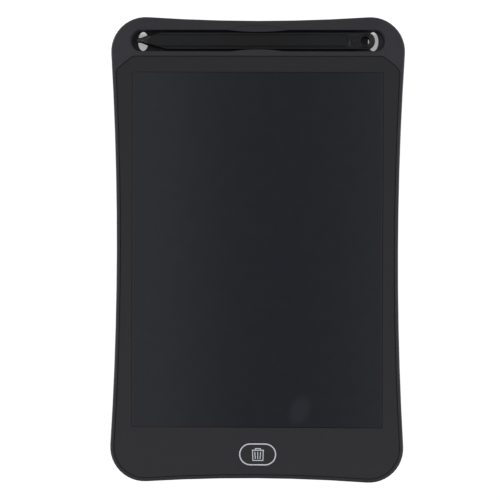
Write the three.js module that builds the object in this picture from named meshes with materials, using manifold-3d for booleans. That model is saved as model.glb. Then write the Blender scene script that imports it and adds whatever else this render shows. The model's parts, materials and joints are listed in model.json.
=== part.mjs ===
// An LCD writing tablet with its stylus, as an assembly of separate pieces.
// Millimetres, +Z up. The tablet lies on its back with the screen up, the stylus bay at the +Y end
// and the erase key at the -Y end. The origin is the centre of the back face.

import * as THREE from 'three';
import { mergeVertices } from 'three/addons/utils/BufferGeometryUtils.js';
import Module from 'manifold-3d';

const wasm = await Module();
wasm.setup();

// Writing window and the borders that place the housing round it
const windowWidth = 124.2;
const windowHeight = 175.6;
const windowCorner = 0.5;
const filmLedge = 2.25; // frame under the film beside the display, at the waist
const keyToEnd = 13.8; // key's centre to the housing's lower end
const filmTopBorder = 7.55; // window to the film's straight top edge
const frameStrip = 2.15; // frame left between the film and the stylus bay
const bayTopMargin = 6.35; // stylus bay to the housing's upper end

// Housing
const cornerRadius = 17;
const sideDip = 3; // how far each long side curves inwards
const endDip = 1.85;
const frontEdge = 0.9; // edge rounding radii
const backEdge = 1.3;
const sideWall = 1.5;
const backWall = 1.3;
const rearHeight = 3.3; // back face to the parting line
const partingGap = 0.15;
const panelThickness = 1; // the frame's plate under the display
const layerGap = 0.03; // between stacked flat layers

// Tongue and snaps that hold the two housing halves together
const tongueThickness = 0.7;
const tongueHeight = 1;
const tongueClearance = 0.05;
const snapLength = 7;
const snapHeight = 0.4;
const snapBite = 0.25;
const snapBelowTop = 0.15;
const sideSnapShares = [-0.66, -0.22, 0.22, 0.66]; // of half the housing's height
const endSnapShares = [-0.45, 0.45]; // of half its width

// Stiffening ribs inside the rear cover
const ribThickness = 1;
const ribClearance = 0.1; // below the frame's plate
const ribColumnShares = [-0.26, 0.26]; // of the window's width
const ribRowShares = [-0.32, 0, 0.32]; // of its height
const ribColumnShare = 0.84; // a column's length
const ribRowShare = 0.86; // a row's length

// Border film and its adhesive
const rimWidth = 1.7; // frame left outside the film's seat
const filmGap = 0.35;
const filmBelowFace = 0.25;
const filmThickness = 0.22;
const filmShoulderDrop = 6.65; // the slanted shoulders at the film's top corners
const filmShoulderRun = 8.1;
const filmShoulderRadius = 3.5;
const filmSideRadius = 4;
const adhesiveThickness = 0.07;
const adhesiveInset = 0.3;

// Display, its tape and its flexible lead
const displayOverlap = 2.9; // display hidden under the film on each side
const displayThickness = 0.58;
const displayClearance = 0.2;
const displayHeadroom = 0.04; // under the film's adhesive
const displayCorner = 1;
const tapeThickness = 0.12;
const tapeWidth = 4;
const tapeInset = 0.5;
const flexWidth = 8;
const flexThickness = 0.12;
const flexBend = 1.1; // from the display's edge to the lead's drop
const flexRise = 0.2; // above the display's underside
const flexSlitDepth = 2;
const flexSlitMargin = 2;

// Stylus bay
const bayEndMargin = 9.35; // housing's widest line to the bay's end
const bayWidth = 10.7;
const bayWall = 1.2;
const bayEndSlope = 0.8; // how much each end draws in from the face to the floor
const lipThickness = 1.3;
const upperLipLength = 31.2;
const upperLipDepth = 0.9;
const lowerLipLength = 26.7;
const lowerLipDepth = 1.1;
const pushHoleInset = 6; // bay end to the push-out hole's centre
const pushHoleLength = 5.2;
const pushHoleWidth = 9.55;
const pushHoleRise = 0.35; // hole's centre above the bay's centre

// Stylus
const bayNibRoom = 3; // bay's end to the nib
const bayTailRoom = 5.2;
const stylusClearance = 0.1; // to each lip
const stylusThickness = 4.6;
const stylusFloorGap = 0.03;
const nibLength = 2.4;
const nibRadius = 1.05;
const nibShankRadius = 0.7;
const nibShankLength = 3;
const nibBoreClearance = 0.03;
const taperLength = 11.1;
const lanyardFromEnd = 4.95; // hole's centre to the tail's end
const lanyardHoleRadius = 2.2;
const lanyardCollarRadius = 2.95;
const lanyardCollarHeight = 0.25;
const collarRootDepth = 1;
const gripGrooveFromEnd = 14.2;
const gripGrooveWidth = 0.5;
const gripGrooveDepth = 0.3;
const gripRibFromEnd = 12.85;
const gripRibWidth = 0.6;
const gripRibHeight = 0.12;
const gripRibShare = 0.55; // of the stylus's width
// Half of the cross-section, from the underside up, as shares of half its width and thickness
const stylusSectionShares = [
  [0.6, -1], [0.85, -0.8], [0.96, -0.45], [1, 0.05], [0.985, 0.45],
  [0.93, 0.74], [0.73, 0.9], [0.69, 0.8], [0.65, 0.9], [0.62, 1],
];
// Along the taper: place from the nib, width and thickness
const stylusTaperShares = [
  [0, 0.29, 0.5], [0.245, 0.57, 0.78], [0.505, 0.725, 0.9], [0.775, 0.88, 0.97], [1, 1, 1],
];

// Erase key, its ring and its switch
const keyLength = 18.7;
const keyX = 0.6; // key's centre beside the housing's middle line
const keyWidth = 11.2;
const keyClearance = 0.1;
const keyProud = 0.12; // key's top above the film
const keyWall = 1;
const keyRoof = 1;
const keyPostRadius = 1.5;
const keyTabLength = 1.2;
const keyTabWidth = 5;
const keyTabThickness = 0.36;
const keyTabClearance = 0.05;
const ringMargin = 0.15; // key's edge to the ring
const ringWidth = 0.6;
const ringDepth = 0.3;
const ringProud = 0.02;
const ringClearance = 0.03;
const eraseTravel = 0.3;
const switchSize = 4.6;
const switchHeight = 0.6;
const plungerRadius = 1;
const plungerClearance = 0.1;
const plungerStandOff = 0.1; // above the board when pressed

// Control board and what is on it
const boardLength = 44;
const boardThickness = 0.8;
const partHeadroom = 0.37; // above the tallest part on the board
const boardLowerMargin = 1.2; // below the key
const boardUpperMargin = 0.1; // beyond the connector
const boardCorner = 1;
const connectorGap = 0.35; // key to connector
const connectorFromFlex = 0.65; // the lead's drop to the connector's mouth
const connectorLength = 11;
const connectorDepth = 2.6;
const connectorHeight = 1;
const connectorSlotDepth = 1.9;
const connectorSlotHeight = 0.3;
const connectorSlotRise = 0.25;
const flexEndGap = 0.1;
const chipLength = 4.9;
const chipWidth = 3.9;
const chipHeight = 0.95;
const chipStandOff = 0.1;
const chipLegLength = 0.9;
const chipLegWidth = 0.42;
const chipLegHeight = 0.35;
const chipLegPitch = 1.27;
const chipLegs = 4;
const inductorRadius = 2;
const inductorHeight = 1.1;
const inductorWaist = 0.35;
const inductorFlange = 0.25;
const diodeLength = 2.7;
const diodeWidth = 1.4;
const diodeHeight = 0.95;
const diodeTabLength = 0.45;
const diodeTabHeight = 0.2;
const capacitorLength = 2;
const capacitorWidth = 1.25;
const capacitorHeight = 0.9;
// Places on the board, as shares of half its length and half its width
const chipShares = [-0.66, -0.5];
const inductorShares = [0.68, -0.55];
const diodeShares = [0.62, 0.25];
const capacitorShares = [[-0.62, 0.18], [-0.62, 0.5]];
const lockSwitchShares = [-0.45, 0.1];
const boardScrewShares = [0.89, -0.35];

// Screws
const boardScrewRadius = 0.7;
const boardScrewHeadRadius = 1.5;
const boardScrewHeadHeight = 0.8;
const boardScrewHole = 0.9;
const boardBossRadius = 2.2;
const doorScrewRadius = 0.8;
const doorScrewHeadRadius = 1.9;
const doorScrewHeadHeight = 0.75;
const screwTipGap = 0.15; // below its boss's top
const screwClearance = 0.05;
const screwSkin = 0.6; // left under a blind pilot hole
const recessShare = 0.6; // a cross recess, of the head's radius and height
const recessWidthShare = 0.3;

// Lock slider on the back
const sliderLength = 6;
const sliderWidth = 3;
const sliderRecess = 0.15; // knob below the back face
const sliderClearance = 0.15;
const sliderTravel = 2;
const sliderFlangeLength = 9.4;
const sliderFlangeWidth = 5;
const sliderFlangeThickness = 0.35;
const sliderRidges = 3;
const sliderRidgeWidth = 0.4;
const sliderRidgeDepth = 0.3;
const sliderRidgePitch = 1.2;
const leverLength = 1;
const leverWidth = 1;
const leverDepth = 0.7; // into the slider
const leverReach = 0.35; // into the switch
const leverClearance = 0.05;
const lockSwitchLength = 6.6;
const lockSwitchWidth = 3.4;
const lockSwitchHeight = 0.54;

// Coin cell, its well and its contacts
const cellRadius = 10;
const cellHeight = 2.5;
const cellStep = 0.6;
const cellClearance = 0.4;
const cellAboveKey = 6.3; // cell's centre above the key's centre
const wellWall = 1;
const wellBelowTop = 0.05; // well's top below the cell's top
const wellFromBoard = 2.6;
const contactThickness = 0.2;
const contactPad = 3.3;
const contactPadInset = 0.5;
const contactRamp = 2;
const contactOverCell = 0.07;
const contactPastCentre = 1;
const negativeWidth = 3;
const negativeShift = -2;
const positiveWidth = 1.8;
const positiveShift = 1.5;
const positiveRise = 0.35; // its bridge above the well
const contactNotch = 0.3;

// Battery door
const doorThickness = 0.95;
const doorRecess = 0.05; // below the back face
const doorLedge = 2.2; // seat round the cell's opening
const doorClearance = 0.15;
const doorCorner = 3;
const ledgeThickness = 0.95;
const padMargin = 1.2;
const doorBossRadius = 3.2;
const doorBossHeight = 0.85;
const doorScrewGap = 1.2; // cell's opening to the door's boss
const doorEndMargin = 0.6;
const doorCounterboreClearance = 0.2;
const coverBossWall = 1;
const coverBossTop = 0.4; // below the frame's plate

// Drawing steps
const cornerSteps = 12;
const sideSteps = 10;
const endSteps = 6;
const edgeSteps = 4;
const roundSteps = 24;
const smallRoundSteps = 16;
const filletSteps = 5;
const lipSteps = 12;
const tailSteps = 7;
const overrun = 0.5; // how far a cutter runs past what it cuts

// Levels worked out from the sizes above, from the back face up
const doorTop = doorRecess + doorThickness;
const doorScrewSeat = 2 * doorRecess + doorScrewHeadHeight;
const doorBossTop = doorTop + doorBossHeight;
const ledgeBottom = doorTop + layerGap;
const padTop = ledgeBottom + ledgeThickness;
const cellBottom = ledgeBottom;
const cellTop = cellBottom + cellHeight;
const wellTop = cellTop - wellBelowTop;
const flangeBottom = backWall + layerGap;
const flangeTop = flangeBottom + sliderFlangeThickness;
const lockSwitchBottom = flangeTop + leverClearance;
const boardBottom = lockSwitchBottom + lockSwitchHeight + layerGap;
const boardTop = boardBottom + boardThickness;
const boardFace = boardTop + layerGap;
const plateUnderside = boardFace + inductorHeight + partHeadroom;
const displaySeat = plateUnderside + panelThickness;
const displayBottom = displaySeat + layerGap + tapeThickness + layerGap;
const filmSeat = displayBottom + displayThickness + displayHeadroom;
const filmBottom = filmSeat + layerGap + adhesiveThickness + layerGap;
const filmTop = filmBottom + filmThickness;
const bodyThickness = filmTop + filmBelowFace;
const frameBottom = rearHeight + partingGap;
const tongueTop = rearHeight + tongueHeight;
const keyBottom = plateUnderside - keyTabClearance - keyTabThickness;
const keyTop = filmTop + keyProud;
const plungerTop = keyBottom - layerGap;
const plungerBottom = boardTop + eraseTravel + plungerStandOff;
const coverBossLevel = plateUnderside - coverBossTop;
const stylusZ = backWall + stylusFloorGap + stylusThickness / 2;

// Places worked out from the sizes above, on the plan
const connectorMouth = displayOverlap + flexBend + connectorFromFlex; // below the window
const keyFromWindow = connectorMouth + connectorDepth + connectorGap + keyWidth / 2;
const sideBorder = displayOverlap + displayClearance + filmLedge + filmGap + rimWidth + sideDip;
const lowerBorder = keyFromWindow + keyToEnd;
const upperBorder = filmTopBorder + filmGap + frameStrip + bayWidth + bayTopMargin;
const bodyWidth = windowWidth + 2 * sideBorder;
const bodyHeight = windowHeight + lowerBorder + upperBorder;
const windowY = (lowerBorder - upperBorder) / 2;
const windowBottomY = windowY - windowHeight / 2;
const filmTopY = windowY + windowHeight / 2 + filmTopBorder;
const bayY = bodyHeight / 2 - bayTopMargin - bayWidth / 2;
const keyY = windowBottomY - keyFromWindow;

const cornerX = bodyWidth / 2 - cornerRadius;
const cornerY = bodyHeight / 2 - cornerRadius;
const sideReach = (sideDip ** 2 + cornerY ** 2) / (2 * sideDip); // side arc's centre to a corner's
const endReach = (endDip ** 2 + cornerX ** 2) / (2 * endDip);
const sideTurn = Math.asin(cornerY / sideReach);
const endTurn = Math.asin(cornerX / endReach);

const displayWidth = windowWidth + 2 * displayOverlap;
const displayHeight = windowHeight + 2 * displayOverlap;
const displayEdgeY = windowY - displayHeight / 2;

const bayLength = bodyWidth - 2 * bayEndMargin;
const stylusLength = bayLength - bayNibRoom - bayTailRoom;
const stylusX = (bayNibRoom - bayTailRoom) / 2;
const stylusWidth = bayWidth - upperLipDepth - lowerLipDepth - 2 * stylusClearance;
const stylusY = bayY + (lowerLipDepth - upperLipDepth) / 2;

const boardUpperY = windowBottomY - connectorMouth + boardUpperMargin;
const boardLowerY = keyY - keyWidth / 2 - boardLowerMargin;
const boardWidth = boardUpperY - boardLowerY;
const boardY = (boardUpperY + boardLowerY) / 2;
const boardScrewX = (boardLength / 2) * boardScrewShares[0];
const boardScrewDrop = (boardWidth / 2) * boardScrewShares[1];
const lockX = (boardLength / 2) * lockSwitchShares[0];
const lockY = boardY + (boardWidth / 2) * lockSwitchShares[1];

const wellRadius = cellRadius + cellClearance;
const cellX = boardLength / 2 + wellFromBoard + wellWall + wellRadius;
const cellY = keyY + cellAboveKey;
const doorScrewX = cellX + wellRadius + doorScrewGap + doorBossRadius;
const doorLeft = cellX - wellRadius - doorLedge;
const doorRight = doorScrewX + doorBossRadius + doorEndMargin;
const doorLength = doorRight - doorLeft;
const doorWidth = 2 * (wellRadius + doorLedge);
const doorX = (doorLeft + doorRight) / 2;

// Colours
const finishes = {
  housing: { color: 0x37363b, roughness: 0.6 },
  cover: { color: 0x2e2d31, roughness: 0.65 },
  film: { color: 0x303032, roughness: 0.5 },
  display: { color: 0x28292e, roughness: 0.3 },
  stylus: { color: 0x242527, roughness: 0.4 },
  nib: { color: 0x18191a, roughness: 0.45 },
  adhesive: { color: 0x8c8c88, roughness: 0.7 },
  tape: { color: 0x1c1c1c, roughness: 0.8 },
  ring: { color: 0xc8ccd4, roughness: 0.35 },
  board: { color: 0x1f5a36, roughness: 0.5 },
  blackPlastic: { color: 0x161616, roughness: 0.5 },
  whitePlastic: { color: 0xd8d5cc, roughness: 0.5 },
  flex: { color: 0xb5742c, roughness: 0.4 },
  ferrite: { color: 0x3a3a3c, roughness: 0.6 },
  ceramic: { color: 0xa08468, roughness: 0.5 },
  steel: { color: 0xb4b6b8, roughness: 0.3, metalness: 1 },
};

// Outlines

const point = (x, y) => new THREE.Vector2(x, y);

// Points along arcs [x, y, radius, from, to, steps], each arc without its last point
function alongArcs(arcs) {
  return arcs.flatMap(([x, y, radius, from, to, steps]) =>
    Array.from({ length: steps }, (_, k) => {
      const angle = from + ((to - from) * k) / steps;
      return point(x + radius * Math.cos(angle), y + radius * Math.sin(angle));
    }));
}

// The housing's outline drawn in by an inset: round corners joined by shallow inward arcs
function housingOutline(inset) {
  const sideX = cornerX + sideReach - sideDip;
  const endY = cornerY + endReach - endDip;
  const side = sideReach - cornerRadius + inset;
  const end = endReach - cornerRadius + inset;
  const corner = cornerRadius - inset;
  const quarter = Math.PI / 2;
  return alongArcs([
    [sideX, 0, side, Math.PI + sideTurn, Math.PI - sideTurn, sideSteps],
    [cornerX, cornerY, corner, -sideTurn, quarter + endTurn, cornerSteps],
    [0, endY, end, endTurn - quarter, -endTurn - quarter, endSteps],
    [-cornerX, cornerY, corner, quarter - endTurn, Math.PI + sideTurn, cornerSteps],
    [-sideX, 0, side, sideTurn, -sideTurn, sideSteps],
    [-cornerX, -cornerY, corner, Math.PI - sideTurn, Math.PI + quarter + endTurn, cornerSteps],
    [0, -endY, end, quarter + endTurn, quarter - endTurn, endSteps],
    [cornerX, -cornerY, corner, -quarter - endTurn, sideTurn, cornerSteps],
  ]);
}

// A polygon of [x, y, radius] corners, rounded where a radius is given
function rounded(corners) {
  return corners.flatMap(([x, y, radius], i) => {
    if (!radius) return [point(x, y)];
    const corner = point(x, y);
    const before = point(...corners.at(i - 1)).sub(corner).normalize();
    const after = point(...corners[(i + 1) % corners.length]).sub(corner).normalize();
    const half = Math.acos(before.dot(after)) / 2;
    const centre = before.clone().add(after).setLength(radius / Math.sin(half)).add(corner);
    const start = corner.clone().addScaledVector(before, radius / Math.tan(half)).sub(centre);
    const turn = Math.sign(after.cross(before)) * (Math.PI - 2 * half);
    return Array.from({ length: filletSteps + 1 }, (_, k) =>
      start.clone().rotateAround(point(0, 0), (turn * k) / filletSteps).add(centre));
  });
}

function roundedRectangle(length, width, radius) {
  const [x, y] = [length / 2, width / 2];
  return rounded([[x, -y, radius], [x, y, radius], [-x, y, radius], [-x, -y, radius]]);
}

function rectangle(length, width) {
  return roundedRectangle(length, width, 0);
}

function ellipse(length, width, steps = roundSteps) {
  return Array.from({ length: steps }, (_, k) => {
    const angle = (2 * Math.PI * k) / steps;
    return point((length / 2) * Math.cos(angle), (width / 2) * Math.sin(angle));
  });
}

function stadium(length, width) {
  const x = (length - width) / 2;
  return [...halfCircle(x, width / 2, -Math.PI / 2), ...halfCircle(-x, width / 2, Math.PI / 2)];
}

// Half a circle of points about (x, 0), both ends included
function halfCircle(x, radius, from) {
  return Array.from({ length: cornerSteps + 1 }, (_, k) => {
    const angle = from + (Math.PI * k) / cornerSteps;
    return point(x + radius * Math.cos(angle), radius * Math.sin(angle));
  });
}

// An outline moved outwards by a margin
function grow(points, margin) {
  return points.map((here, i) => {
    const before = points.at(i - 1);
    const after = points[(i + 1) % points.length];
    const first = point(here.y - before.y, before.x - here.x).normalize();
    const second = point(after.y - here.y, here.x - after.x).normalize();
    const out = first.clone().add(second).normalize();
    return here.clone().addScaledVector(out, margin / out.dot(first));
  });
}

// The border film: it follows the housing, with slanted shoulders under the bay
function filmOutline() {
  const inset = rimWidth + filmGap;
  const side = sideReach - cornerRadius + inset;
  const shoulderY = filmTopY - filmShoulderDrop;
  const shoulderX = cornerX + sideReach - sideDip - Math.sqrt(side ** 2 - shoulderY ** 2);
  const topX = shoulderX - filmShoulderRun;
  const lower = housingOutline(inset).filter(({ y }) => y < shoulderY - filmSideRadius);
  const right = lower.filter(({ x, y }) => x > 0 && y > -cornerY);
  const rest = lower.slice(right.length);
  const corners = [
    ...right.map(({ x, y }) => [x, y, 0]),
    [shoulderX, shoulderY, filmSideRadius],
    [topX, filmTopY, filmShoulderRadius],
    [-topX, filmTopY, filmShoulderRadius],
    [-shoulderX, shoulderY, filmSideRadius],
    ...rest.map(({ x, y }) => [x, y, 0]),
  ];
  return rounded(corners);
}

// Solids

// A closed solid for joining and cutting
function solidOf(geometry) {
  const bare = geometry.clone();
  bare.deleteAttribute('normal');
  bare.deleteAttribute('uv');
  const merged = mergeVertices(bare);
  return new wasm.Manifold(new wasm.Mesh({
    numProp: 3,
    vertProperties: new Float32Array(merged.attributes.position.array),
    triVerts: new Uint32Array(merged.index.array),
  }));
}

function geometryOf(solid) {
  const mesh = solid.getMesh();
  const geometry = new THREE.BufferGeometry();
  geometry.setAttribute('position', new THREE.BufferAttribute(mesh.vertProperties, mesh.numProp));
  geometry.setIndex(new THREE.BufferAttribute(mesh.triVerts, 1));
  geometry.computeVertexNormals();
  return geometry;
}

const joined = (solids) => solids.reduce((sum, solid) => sum.add(solid));
const cut = (solid, ...cutters) => cutters.reduce((rest, cutter) => rest.subtract(cutter), solid);

// An outline raised from one level to another, moved to (x, y)
function prism(outline, from, to, x = 0, y = 0) {
  const options = { depth: to - from, bevelEnabled: false };
  return solidOf(new THREE.ExtrudeGeometry(new THREE.Shape(outline), options).translate(x, y, from));
}

function block(length, width, from, to, x = 0, y = 0) {
  return prism(rectangle(length, width), from, to, x, y);
}

function disc(radius, from, to, x = 0, y = 0, steps = smallRoundSteps) {
  return prism(ellipse(2 * radius, 2 * radius, steps), from, to, x, y);
}

// A frame shaped sheet between an outer and an inner outline
function sheetFrame(outer, inner, from, to) {
  return cut(prism(outer, from, to), prism(inner, from - overrun, to + overrun));
}

// A closed surface through outlines of equal count, each at its own height
function loft(outlines, heights) {
  const count = outlines[0].length;
  const positions = outlines.flatMap((outline, k) => outline.flatMap(({ x, y }) => [x, y, heights[k]]));
  const faces = [];
  for (let k = 0; k + 1 < outlines.length; k += 1) {
    for (let i = 0; i < count; i += 1) {
      const next = (i + 1) % count;
      const [a, b] = [k * count + i, k * count + next];
      faces.push(a, b, b + count, a, b + count, a + count);
    }
  }
  const last = (outlines.length - 1) * count;
  for (const [a, b, c] of THREE.ShapeUtils.triangulateShape(outlines[0], [])) faces.push(c, b, a);
  for (const [a, b, c] of THREE.ShapeUtils.triangulateShape(outlines.at(-1), [])) {
    faces.push(last + a, last + b, last + c);
  }
  const geometry = new THREE.BufferGeometry();
  geometry.setAttribute('position', new THREE.Float32BufferAttribute(positions, 3));
  geometry.setIndex(faces);
  return geometry;
}

// A solid of revolution about Z from [radius, height] points that start and end on the axis
function turned(profile) {
  const points = profile.map(([radius, height]) => point(radius, height));
  return new THREE.LatheGeometry(points, smallRoundSteps).rotateX(Math.PI / 2);
}

// A strip of sheet metal or film that follows points, extruded across its width
function bentStrip(points, thickness, width) {
  const half = thickness / 2;
  const offset = (sign) => points.map((here, i) => {
    const before = points[i - 1] ?? here;
    const after = points[i + 1] ?? here;
    const first = here === before ? null : point(before.y - here.y, here.x - before.x).normalize();
    const second = here === after ? null : point(here.y - after.y, after.x - here.x).normalize();
    const out = (first ?? second).clone().add(second ?? first).normalize();
    return here.clone().addScaledVector(out, (sign * half) / out.dot(first ?? second));
  });
  const outline = [...offset(-1), ...offset(1).reverse()];
  const geometry = new THREE.ExtrudeGeometry(new THREE.Shape(outline), { depth: width, bevelEnabled: false });
  return geometry.translate(0, 0, -width / 2);
}

// Rounding of a housing edge: [inset, distance along] pairs through a quarter turn
function edgeRounding(radius) {
  return Array.from({ length: edgeSteps + 1 }, (_, k) => {
    const angle = ((Math.PI / 2) * k) / edgeSteps;
    return [radius * (1 - Math.cos(angle)), radius * Math.sin(angle)];
  });
}

function housingLoft(levels) {
  return solidOf(loft(levels.map(([inset]) => housingOutline(inset)), levels.map(([, height]) => height)));
}

// Short stretches of the housing wall between two insets, where the snaps lie
function snapStretches(outerInset, innerInset, from, to, length) {
  const wall = sheetFrame(housingOutline(outerInset), housingOutline(innerInset), from, to);
  const sides = sideSnapShares.map((share) =>
    block(bodyWidth, length, from, to, 0, (share * bodyHeight) / 2));
  const ends = endSnapShares.map((share) => block(length, bodyHeight, from, to, (share * bodyWidth) / 2));
  return wall.intersect(joined([...sides, ...ends]));
}

// Housing pieces

function lip(side, length, depth) {
  const edge = (side * bayWidth) / 2;
  const inner = Array.from({ length: lipSteps + 1 }, (_, k) => {
    const share = (2 * k) / lipSteps - 1;
    return point((share * length) / 2, edge - side * depth * (1 - share ** 2));
  });
  const back = edge + (side * bayWall) / 2;
  const outline = [...inner, point(length / 2, back), point(-length / 2, back)];
  return prism(outline, bodyThickness - lipThickness, bodyThickness, 0, bayY);
}

function bayCavity() {
  const floor = stadium(bayLength - 2 * bayEndSlope, bayWidth);
  const mouth = stadium(bayLength, bayWidth);
  const heights = [backWall - overrun, backWall, bodyThickness, bodyThickness + overrun];
  return solidOf(loft([floor, floor, mouth, mouth], heights).translate(0, bayY, 0));
}

function frontFrame() {
  const rounding = edgeRounding(frontEdge);
  const levels = [
    [0, frameBottom],
    ...rounding.map(([inset, along]) => [inset, bodyThickness - frontEdge + along]),
  ];
  const rebateInset = sideWall - tongueThickness - tongueClearance;
  const hollow = prism(housingOutline(sideWall), frameBottom - overrun, plateUnderside);
  const rebate = prism(housingOutline(rebateInset), frameBottom - overrun, tongueTop + tongueClearance);
  const snapTop = tongueTop - snapBelowTop;
  const snapPockets = snapStretches(
    rebateInset - snapBite, sideWall,
    snapTop - snapHeight - tongueClearance, snapTop + tongueClearance,
    snapLength + 2 * tongueClearance,
  );
  const shell = cut(housingLoft(levels), hollow, rebate, snapPockets);

  const bayOutline = stadium(bayLength + 2 * bayWall, bayWidth + 2 * bayWall);
  const bayWalls = prism(bayOutline, backWall + layerGap, plateUnderside + overrun, 0, bayY);
  const above = bodyThickness + overrun;
  const filmSeatCut = prism(grow(filmOutline(), filmGap), filmSeat, above);
  const pocket = roundedRectangle(
    displayWidth + 2 * displayClearance, displayHeight + 2 * displayClearance, displayCorner,
  );
  const slitWidth = flexWidth + 2 * flexSlitMargin;
  const slitY = displayEdgeY - displayClearance - flexSlitDepth / 2;
  const keyHole = stadium(keyLength + 2 * keyClearance, keyWidth + 2 * keyClearance);
  const open = cut(
    shell.add(bayWalls),
    bayCavity(),
    filmSeatCut,
    prism(pocket, displaySeat, above, 0, windowY),
    block(slitWidth, flexSlitDepth, plateUnderside - overrun, above, 0, slitY),
    block(slitWidth, flexSlitDepth, displaySeat, above, 0, slitY + displayClearance),
    prism(keyHole, plateUnderside - overrun, above, keyX, keyY),
  );
  return joined([open, lip(1, upperLipLength, upperLipDepth), lip(-1, lowerLipLength, lowerLipDepth)]);
}

function rearCoverRibs() {
  const top = plateUnderside - ribClearance;
  const columns = ribColumnShares.map((share) =>
    block(ribThickness, windowHeight * ribColumnShare, backWall / 2, top, windowWidth * share, windowY));
  const rows = ribRowShares.map((share) =>
    block(windowWidth * ribRowShare, ribThickness, backWall / 2, top, 0, windowY + windowHeight * share));
  return [...columns, ...rows];
}

function rearCover() {
  const rounding = edgeRounding(backEdge).reverse();
  const levels = [...rounding.map(([inset, along]) => [inset, backEdge - along]), [0, rearHeight]];
  const tongueInset = sideWall - tongueThickness;
  const hollow = prism(housingOutline(sideWall), backWall, tongueTop + overrun);
  const tongue = sheetFrame(housingOutline(tongueInset), housingOutline(sideWall), backWall, tongueTop);
  const snapTop = tongueTop - snapBelowTop;
  const snaps = snapStretches(tongueInset - snapBite, sideWall, snapTop - snapHeight, snapTop, snapLength);
  const shell = cut(housingLoft(levels), hollow);

  const padOutline = roundedRectangle(doorLength + 2 * padMargin, doorWidth + 2 * padMargin, doorCorner);
  const pad = prism(padOutline, backWall / 2, padTop, doorX, cellY);
  const well = disc(wellRadius + wellWall, backWall / 2, wellTop, cellX, cellY, roundSteps);
  const doorBoss = disc(
    doorBossRadius + doorClearance + coverBossWall, backWall / 2, coverBossLevel, doorScrewX, cellY,
  );
  const boardBosses = [-1, 1].map((side) =>
    disc(
      boardBossRadius, backWall / 2, boardBottom - layerGap, side * boardScrewX, boardY + boardScrewDrop,
    ));
  const solid = joined([shell, tongue, snaps, pad, well, doorBoss, ...boardBosses, ...rearCoverRibs()]);

  const doorSeat = roundedRectangle(doorLength, doorWidth, doorCorner);
  const pushHole = ellipse(pushHoleLength, pushHoleWidth);
  const pushX = bayLength / 2 - pushHoleInset;
  const pushY = bayY + pushHoleRise;
  const slotMargin = 2 * sliderClearance;
  const sliderSlot = stadium(sliderLength + sliderTravel + slotMargin, sliderWidth + slotMargin);
  const boardPilot = boardScrewRadius + screwClearance;
  return cut(
    solid,
    disc(wellRadius, -overrun, wellTop + overrun, cellX, cellY, roundSteps),
    prism(doorSeat, -overrun, ledgeBottom, doorX, cellY),
    disc(doorBossRadius + doorClearance, -overrun, doorBossTop + layerGap, doorScrewX, cellY),
    disc(doorScrewRadius + screwClearance, 0, plateUnderside, doorScrewX, cellY),
    disc(boardPilot, screwSkin, boardTop, -boardScrewX, boardY + boardScrewDrop),
    disc(boardPilot, screwSkin, boardTop, boardScrewX, boardY + boardScrewDrop),
    prism(pushHole, -overrun, backWall + overrun, -pushX, pushY),
    prism(pushHole, -overrun, backWall + overrun, pushX, pushY),
    prism(sliderSlot, -overrun, backWall + overrun, lockX + sliderTravel / 2, lockY),
    block(
      wellWall + 2 * overrun, positiveWidth + contactNotch, padTop, wellTop + overrun,
      cellX - wellRadius - wellWall / 2, cellY + positiveShift,
    ),
  );
}

// Film and display pieces

function bezelFilm() {
  const window = roundedRectangle(windowWidth, windowHeight, windowCorner);
  const keyHole = stadium(keyLength + 2 * keyClearance, keyWidth + 2 * keyClearance);
  return cut(
    prism(filmOutline(), 0, filmThickness),
    prism(window, -overrun, filmThickness + overrun, 0, windowY),
    prism(keyHole, -overrun, filmThickness + overrun, keyX, keyY),
  );
}

function bezelAdhesive() {
  const inner = roundedRectangle(
    displayWidth + 2 * (displayClearance + adhesiveInset),
    displayHeight + 2 * (displayClearance + adhesiveInset), displayCorner,
  );
  const keyMargin = 2 * (keyClearance + adhesiveInset);
  const keyHole = stadium(keyLength + keyMargin, keyWidth + keyMargin);
  return cut(
    prism(grow(filmOutline(), -adhesiveInset), 0, adhesiveThickness),
    prism(inner, -overrun, adhesiveThickness + overrun, 0, windowY),
    prism(keyHole, -overrun, adhesiveThickness + overrun, keyX, keyY),
  );
}

function lcdPanel() {
  return prism(roundedRectangle(displayWidth, displayHeight, displayCorner), 0, displayThickness);
}

function mountingTape() {
  const [length, width] = [displayWidth - 2 * tapeInset, displayHeight - 2 * tapeInset];
  return sheetFrame(
    rectangle(length, width), rectangle(length - 2 * tapeWidth, width - 2 * tapeWidth), 0, tapeThickness,
  );
}

function flexTail() {
  const high = displayBottom + flexRise + flexThickness / 2;
  const low = boardFace + connectorSlotRise + connectorSlotHeight / 2;
  const startY = displayEdgeY - layerGap;
  const dropY = displayEdgeY - flexBend;
  const endY = boardUpperY - boardUpperMargin - connectorSlotDepth + flexEndGap;
  const route = [point(startY, high), point(dropY, high), point(dropY, low), point(endY, low)];
  return bentStrip(route, flexThickness, flexWidth);
}

// Key pieces

// Outlines of the ring, or of its groove when a margin is given
function keyRingOutlines(margin) {
  const outer = stadium(keyLength - 2 * ringMargin + 2 * margin, keyWidth - 2 * ringMargin + 2 * margin);
  const step = 2 * (ringMargin + ringWidth + margin);
  return [outer, stadium(keyLength - step, keyWidth - step)];
}

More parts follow.
